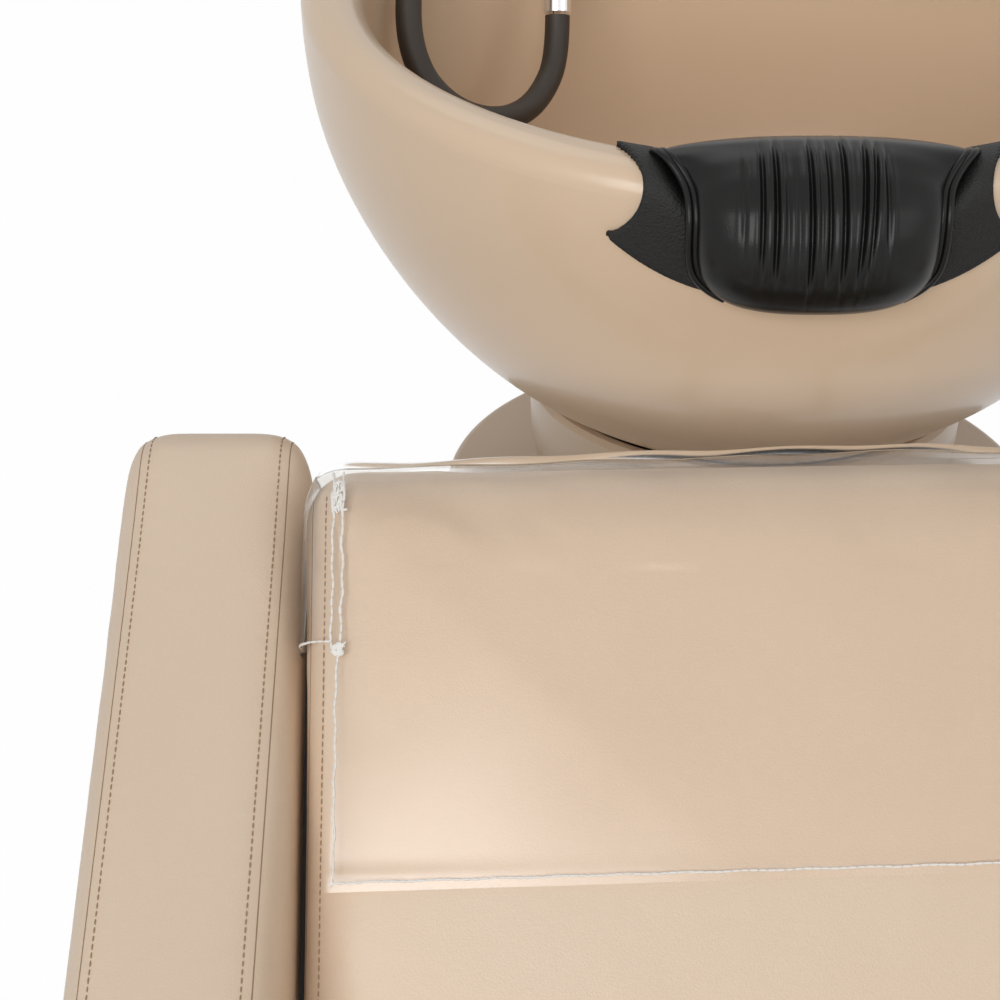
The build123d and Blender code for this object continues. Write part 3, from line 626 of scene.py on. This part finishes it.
# %% Piping and pleated pad
PIPING = [
    (80, 208, 940), (79.5, 203, 949), (77.5, 196, 956), (75, 189, 958.5), (70.5, 183.5, 956),
    (65.5, 179.5, 950), (61.8, 175, 944), (60.6, 169, 938), (60.2, 165.2, 930), (60.2, 165, 920),
    (59.8, 165.6, 911), (58, 166, 902.5), (53.5, 166, 896.5), (47.5, 165.6, 892), (41, 165, 889),
]
CENTRE = [
    (0, 222, 922), (0, 221, 940), (0, 213, 955), (0, 200, 963), (0, 188, 965.5),
    (0, 174, 963), (0, 160, 955), (0, 149, 943), (0, 142, 929), (0, 139.5, 915),
    (0, 140.5, 902), (0, 145.5, 891), (0, 154, 885), (0, 162, 883), (0, 168, 884),
]
# Each pleat: place across, slant, depth in millimetres, and where it starts and ends down the pad.
PLEATS = [
    (-0.0385, 0.0020, 0.9, 0.45, 0.66), (-0.0299, 0.0015, 1.7, 0.38, 0.74),
    (-0.0231, 0.0010, 1.9, 0.36, 0.76), (-0.0180, 0.0000, 0.8, 0.46, 0.70),
    (-0.0125, 0.0000, 0.7, 0.50, 0.72), (-0.0062, 0.0005, 2.0, 0.36, 0.78),
    (-0.0018, 0.0000, 0.8, 0.42, 0.70), (0.0025, 0.0005, 1.6, 0.38, 0.76),
    (0.0098, 0.0010, 2.2, 0.34, 0.76), (0.0195, 0.0055, 2.3, 0.36, 0.74),
    (0.0245, 0.0065, 1.8, 0.38, 0.72), (0.0312, 0.0010, 1.3, 0.42, 0.68),
]
CORD_RADIUS, CORD_SHIFTS = 0.0020, (0.0002, 0.0036)


def even_line(points, count):
    """A line resampled to evenly spaced points and lightly rounded."""
    line = np.array(points, float) / 1000
    length = np.concatenate([[0], np.cumsum(np.linalg.norm(np.diff(line, axis=0), axis=1))])
    share = np.linspace(0, length[-1], count)
    even = np.stack([np.interp(share, length, line[:, axis]) for axis in range(3)], axis=1)
    for _ in range(count // 12):
        even[1:-1] = (even[:-2] + 2 * even[1:-1] + even[2:]) / 4
    return even


ROWS, COLUMNS = 150, 280
left, middle = even_line(PIPING, ROWS) * (-1, 1, 1), even_line(CENTRE, ROWS)
right = left * (-1, 1, 1)
u = np.linspace(-1, 1, COLUMNS)
swell = (1 - np.abs(u) ** 2.5) ** (1 / 1.9)
chord = left[:, None] + (right - left)[:, None] * ((u + 1) / 2)[None, :, None]
grid = chord + (middle - (left + right) / 2)[:, None] * swell[None, :, None]
share = np.linspace(0, 1, ROWS)[:, None]
dent = np.zeros((ROWS, COLUMNS))
for x, slant, depth, start, end in PLEATS:
    offset = grid[:, :, 0] - (x + slant * (0.55 - share) * 2)
    fade = 1 / (1 + np.exp(-(share - start) / 0.025)) / (1 + np.exp((share - end) / 0.03))
    groove = np.exp(-(offset / 0.0011) ** 2)
    right_fold = 0.42 * np.exp(-((offset - 0.0028) / 0.0016) ** 2)
    left_fold = 0.30 * np.exp(-((offset + 0.0026) / 0.0014) ** 2)
    dent += fade * depth * 0.001 * (groove - right_fold - left_fold)
down, side_way = np.gradient(grid, axis=0), np.gradient(grid, axis=1)
lean = np.cross(side_way, down)
lean /= np.linalg.norm(lean, axis=2, keepdims=True) + 1e-12
if lean[ROWS // 2, COLUMNS // 2, 1] > 0:
    lean = -lean
grid = grid - lean * dent[:, :, None]
quads = [(r * COLUMNS + c, r * COLUMNS + c + 1, (r + 1) * COLUMNS + c + 1, (r + 1) * COLUMNS + c)
         for r in range(ROWS - 1) for c in range(COLUMNS - 1)]
pad = add_mesh("neck_pad_vinyl", grid.reshape(-1, 3), quads, "pad_vinyl")
cord = even_line(PIPING, 60)
lines = [cord * (side, 1, 1) + (side * shift, 0, 0) for side in (-1, 1) for shift in CORD_SHIFTS]
piping = line_tube("piping_cords", lines, CORD_RADIUS, "pad_vinyl", "basin_unit")
for piece, node, slot in (
    (saddle, "neck_saddle", "saddle_rubber"),
    (piping, "neck_piping", "pad_vinyl"),
    (pad, "neck_pad", "pad_vinyl"),
):
    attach(piece, "basin_unit")
    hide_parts(node)
print("pad", len(pad.data.polygons), "faces")

# %% [markdown]
# The ribbed waste hose is a copy of the CAD's, with its upper cuff on the tail pipe and its lower one on the
# spigot.
# It is cut across into rings between the spigot's top and the tail pipe's end, so that its smooth bore has
# edges where it could bend.

# %% Waste hose
SPIGOT_TOP, TAIL_PIPE_END, HOSE_CUTS = (0, 0.405, 0.125), (0, 0.405, 0.555), 44
waste = bpy.data.objects.new("waste_hose_bending", nodes["waste_hose"].data.copy())
bpy.context.scene.collection.objects.link(waste)
rings = bmesh.new()
rings.from_mesh(waste.data)
for height in np.linspace(SPIGOT_TOP[2], TAIL_PIPE_END[2], HOSE_CUTS):
    everything = rings.verts[:] + rings.edges[:] + rings.faces[:]
    bmesh.ops.bisect_plane(rings, geom=everything, plane_co=(0, 0, height), plane_no=(0, 0, 1))
rings.to_mesh(waste.data)
rings.free()
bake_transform(waste)
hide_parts("waste_hose")
print("waste hose", len(waste.data.polygons), "faces")

# %% [markdown]
# The shower hose is a NURBS curve through the CAD's own route, so it bends evenly from the elbow down
# into the basin and up to the hand shower.

# %% Shower hose
curve = bpy.data.curves.new("rubber_hose", "CURVE")
curve.dimensions = "3D"
curve.bevel_depth = HOSE_RADIUS
curve.bevel_resolution = 10
curve.resolution_u = 16
curve.use_fill_caps = True
spline = curve.splines.new("NURBS")
spline.points.add(len(HOSE_ROUTE) - 1)
for point, place in zip(spline.points, HOSE_ROUTE):
    point.co = (*[v / 1000 for v in place], 1)
spline.order_u = 3
spline.use_endpoint_u = True
curve.materials.append(paints["hose_rubber"].material)
hose = bpy.data.objects.new("rubber_hose", curve)
bpy.context.scene.collection.objects.link(hose)
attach(hose, "basin_unit")
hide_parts("shower_hose")
print("hose of", HOSE_LENGTH, "m")

# %% [markdown]
# The clear slip-over cover is one sheet. Its surface is a rounded box grown from the backrest: grid
# points on a plain box are pulled in by the corner radius and pushed out along their own direction. Low
# waves keep its reflections from lying dead flat.

# %% Clear cover
GAP, CORNER = 0.0040, 0.023
HALF = Vector((BACK_WIDTH / 2 + GAP, BACK_LENGTH / 2 + GAP, (BACK_THICKNESS + BOARD) / 2 + GAP))
MIDDLE = Vector((0, -BACK_LENGTH / 2, -(BACK_THICKNESS + BOARD) / 2))
FRONT_DROP, SIDE_DROP, REAR_DROP, FLAP_INSET = 0.188, 0.084, 0.150, 0.0100


def cover_lines():
    """Grid lines across and along the sheet, with one on each cut."""
    flap = BACK_WIDTH / 2 - FLAP_INSET
    across = sorted({*np.linspace(-HALF.x, HALF.x, 140).round(5), -flap, flap})
    along = sorted({*np.linspace(-REAR_DROP, HALF.y + MIDDLE.y, 70).round(5), -FRONT_DROP, -SIDE_DROP,
                    *np.linspace(-FRONT_DROP, -REAR_DROP, 14).round(5)})
    through = list(np.linspace(-HALF.z, HALF.z, 44))
    return across, along, through


def askew(x, y):
    """The front flap hangs a little askew: its foot rises from left to right."""
    below = max(0, (-y - SIDE_DROP) / (FRONT_DROP - SIDE_DROP))
    return y + below * (0.031 * (min(x, 0.10) + 0.222) - 0.0045)


def on_cover(x, y, z):
    """A point of the rounded box, from a point of the plain box, both about the backrest's own plane."""
    plain = Vector((x, askew(x, y) if z > MIDDLE.z else y, z)) - MIDDLE
    core = Vector([max(CORNER - h, min(h - CORNER, v)) for v, h in zip(plain, HALF)])
    way = plain - core
    way = way.normalized() if way.length > 1e-9 else Vector((0, 0, 1))
    place = core + way * CORNER
    if plain.z > 0:
        place.z -= 0.005 * max((plain.x / HALF.x) ** 2, (plain.y / HALF.y) ** 2)
    slack = np.interp(x, SLACK_PLACES, SLACK)
    place.y += float(slack) * max(0, (plain.y / HALF.y - 0.82) / 0.18) ** 1.3
    ripple = 0.25 + 0.75 * max(0, plain.y / HALF.y) ** 4
    wave = 0.0007 * sin(23 * x + 13 * z + 2) * cos(19 * y + 11 * x) + 0.0005 * sin(41 * x - 29 * y)
    wave += 0.0010 * ripple * sin(57 * x + 21 * z) * sin(90 * z + 33 * x + 60 * y) * (plain.y > HALF.y - 0.05)
    wave += 0.0004 * np.exp(-((y + FRONT_DROP - 0.006) / 0.003) ** 2) * (0.6 + 0.4 * sin(24 * x + 1))
    return BACK @ (MIDDLE + place + way * float(wave))


def cover_panels():
    across, along, through = cover_lines()
    flap = BACK_WIDTH / 2 - FLAP_INSET + 1e-6
    high_y, low_z, high_z = HALF.y + MIDDLE.y, MIDDLE.z - HALF.z, MIDDLE.z + HALF.z
    levels = [MIDDLE.z + z for z in through]
    keep, points, index = [], [], {}

    def corner(x, y, z):
        key = (round(x, 5), round(y, 5), round(z, 5))
        if key not in index:
            index[key] = len(points)
            points.append(on_cover(x, y, z))
        return index[key]

    def panel(us, vs, place):
        for u0, u1 in zip(us, us[1:]):
            for v0, v1 in zip(vs, vs[1:]):
                face = [corner(*place(u, v)) for u, v in ((u0, v0), (u1, v0), (u1, v1), (u0, v1))]
                if len(set(face)) > 2:
                    keep.append(face)

    inside = [x for x in across if abs(x) <= flap]
    panel(across, [y for y in along if y >= -SIDE_DROP], lambda u, v: (u, v, high_z))
    panel(inside, [y for y in along if -FRONT_DROP <= y <= -SIDE_DROP], lambda u, v: (u, v, high_z))
    panel(across, levels, lambda u, v: (u, high_y, v))
    panel(across, [y for y in along if y >= -SIDE_DROP], lambda u, v: (u, v, low_z))
    panel(inside, [y for y in along if -REAR_DROP <= y <= -SIDE_DROP], lambda u, v: (u, v, low_z))
    for side in (-1, 1):
        panel(levels, [y for y in along if y >= -SIDE_DROP], lambda u, v: (side * HALF.x, v, u))
    return points, keep


cover_points, cover_faces = cover_panels()
cover = add_mesh("clear_film", cover_points, cover_faces, "clear_pvc")
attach(cover, "stand")
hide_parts("clear_cover")
print("cover", len(cover_faces), "faces")

# %% [markdown]
# The film's hems are sewn with white chain stitch: three lines down each side of the front above the
# side flap's hem and one below it, one along the foot and one round each side flap. A knot closes each
# corner and short tacks hold its top. They all follow the film itself.

# %% Hem threads
film_tree = BVHTree.FromObject(cover, bpy.context.evaluated_depsgraph_get())


def on_film(points, lift=0.0003):
    """Points on the front of the film, given across and down the backrest."""
    run = []
    for x, y in points:
        found = looked_down(film_tree, BACK @ Vector((x, y, 0.03)), -out, lift)
        if found:
            run.append(found)
    return run


def loose(points, sway=0.00025):
    """The same run, hung askew with the flap and with the small wander of hand-fed thread."""
    run = []
    for x, y in points:
        across = sway * sin(410 * (x + y)) + sway * sin(167 * (x - y))
        run.append((x + across, askew(x, y) + sway * cos(230 * (x - y))))
    return run


FLAP = BACK_WIDTH / 2 - FLAP_INSET
hems = []
for side in (-1, 1):
    side_foot, front_foot = -SIDE_DROP + 0.002, -FRONT_DROP + 0.004
    for inset, foot in ((0.003, side_foot), (0.0075, side_foot), (0.0055, front_foot)):
        top = -0.002 if foot > -0.1 else -SIDE_DROP
        hems.append(on_film(loose([(side * (FLAP - inset), y) for y in np.linspace(top, foot, 60)])))
foot_line = [(x, -FRONT_DROP + 0.004) for x in np.linspace(-FLAP + 0.0055, FLAP - 0.0055, 160)]
hems.append(on_film(loose(foot_line, 0.0002)))
for side in (-1, 1):
    run = []
    for z in np.linspace(-0.012, -BACK_THICKNESS, 40):
        start = BACK @ Vector((side * (HALF.x + 0.03), -SIDE_DROP + 0.004, z))
        found = looked_down(film_tree, start, (BACK.to_3x3() @ Vector((-side, 0, 0))).normalized(), 0.0003)
        if found:
            run.append(found)
    hems.append(run)
for side in (-1, 1):
    hem = [(side * x, -SIDE_DROP + 0.004) for x in np.linspace(FLAP - 0.001, HALF.x - 0.002, 14)]
    hems.append(on_film(loose(hem)))
    knot = [
        (side * (FLAP - 0.006) + 0.0024 * cos(1.9 * i) * (1 - i / 70), -SIDE_DROP + 0.0026 * sin(2.3 * i + 1))
        for i in range(44)
    ]
    hems.append(on_film(knot, 0.0009))
    tack = [(side * (FLAP - 0.005 + 0.0035 * sin(2.6 * i)), -0.006 - 0.0004 * i) for i in range(34)]
    hems.append(on_film(tack, 0.0006))
    second = [(side * (FLAP - 0.0075), y) for y in np.linspace(-0.020, -SIDE_DROP + 0.002, 40)]
    hems.append(on_film(loose(second, 0.0004), 0.0005))
thread = stitched("cover_thread", hems, "thread_white", "stand", pitch=0.0040, length=0.0046, radius=0.00068)
print("hem lines", len(hems))

# %% [markdown]
# Studio: a pale floor, one broad soft light behind the camera, a weaker one from the right and one over
# the basin, and a white world that only camera, glossy and transmission rays see at full strength. The
# camera stands where the photograph's camera stood.

# %% Floor, lights and camera
bpy.ops.mesh.primitive_plane_add(size=30, location=(0, 0, -0.0005))
floor = bpy.context.object
floor.name = "floor"
floor_paint = Paint("floor", (0.72, 0.72, 0.72), 0.9)
rays = floor_paint.tree.nodes.new("ShaderNodeLightPath")
seen = Wire(floor_paint, rays.outputs["Is Camera Ray"])
seen = seen.math("MAXIMUM", Wire(floor_paint, rays.outputs["Is Glossy Ray"]))
seen = seen.math("MAXIMUM", Wire(floor_paint, rays.outputs["Is Transmission Ray"]))
glow = floor_paint.node("ShaderNodeEmission", Color=(1, 1, 1, 1), Strength=1.0)
lit = floor_paint.node("ShaderNodeMixShader", Fac=seen * 0.985)
floor_paint.plug(Wire(floor_paint, floor_paint.main.outputs["BSDF"]), lit.socket.node.inputs[1])
floor_paint.plug(glow, lit.socket.node.inputs[2])
floor_paint.plug(lit, floor_paint.output.inputs["Surface"])
floor.data.materials.append(floor_paint.material)


def area_light(name, place, aim, size, power, colour=(1, 1, 1)):
    data = bpy.data.lights.new(name, "AREA")
    data.shape = "RECTANGLE"
    data.size, data.size_y = size
    data.energy = power
    data.color = colour
    obj = bpy.data.objects.new(name, data)
    obj.location = place
    obj.rotation_euler = (Vector(aim) - Vector(place)).to_track_quat("-Z", "Y").to_euler()
    bpy.context.scene.collection.objects.link(obj)
    return obj


area_light("key", (-1.0, -3.0, 2.2), (0, 0.1, 0.8), (2.6, 1.8), 70)
area_light("fill", (2.4, -1.8, 2.4), (0, 0.2, 0.8), (1.6, 1.6), 9)
area_light("rim_light", (-0.6, 1.2, 3.2), (0, 0.4, 0.9), (1.6, 1.2), 7)

world = bpy.data.worlds.new("studio")
bpy.context.scene.world = world
world.use_nodes = True
tree = world.node_tree
background = next(n for n in tree.nodes if n.type == "BACKGROUND")
rays = tree.nodes.new("ShaderNodeLightPath")
seen = tree.nodes.new("ShaderNodeMath")
seen.operation = "MAXIMUM"
also = tree.nodes.new("ShaderNodeMath")
also.operation = "MAXIMUM"
level = tree.nodes.new("ShaderNodeMapRange")
level.inputs["To Min"].default_value = 0.30
level.inputs["To Max"].default_value = 1.0
tree.links.new(rays.outputs["Is Camera Ray"], seen.inputs[0])
tree.links.new(rays.outputs["Is Glossy Ray"], seen.inputs[1])
tree.links.new(seen.outputs[0], also.inputs[0])
tree.links.new(rays.outputs["Is Transmission Ray"], also.inputs[1])
tree.links.new(also.outputs[0], level.inputs["Value"])
tree.links.new(level.outputs["Result"], background.inputs["Strength"])
background.inputs["Color"].default_value = (1, 1, 1, 1)

camera_data = bpy.data.cameras.new("camera")
camera_data.lens = 72
camera_data.sensor_width = 36
camera = bpy.data.objects.new("camera", camera_data)
camera.location = (-0.157, -0.760, 1.287)
camera.rotation_euler = (radians(61), 0, 0)
bpy.context.scene.collection.objects.link(camera)
bpy.context.scene.camera = camera
bpy.context.scene.view_settings.view_transform = "Standard"
print("camera at", tuple(round(v, 3) for v in camera.location))
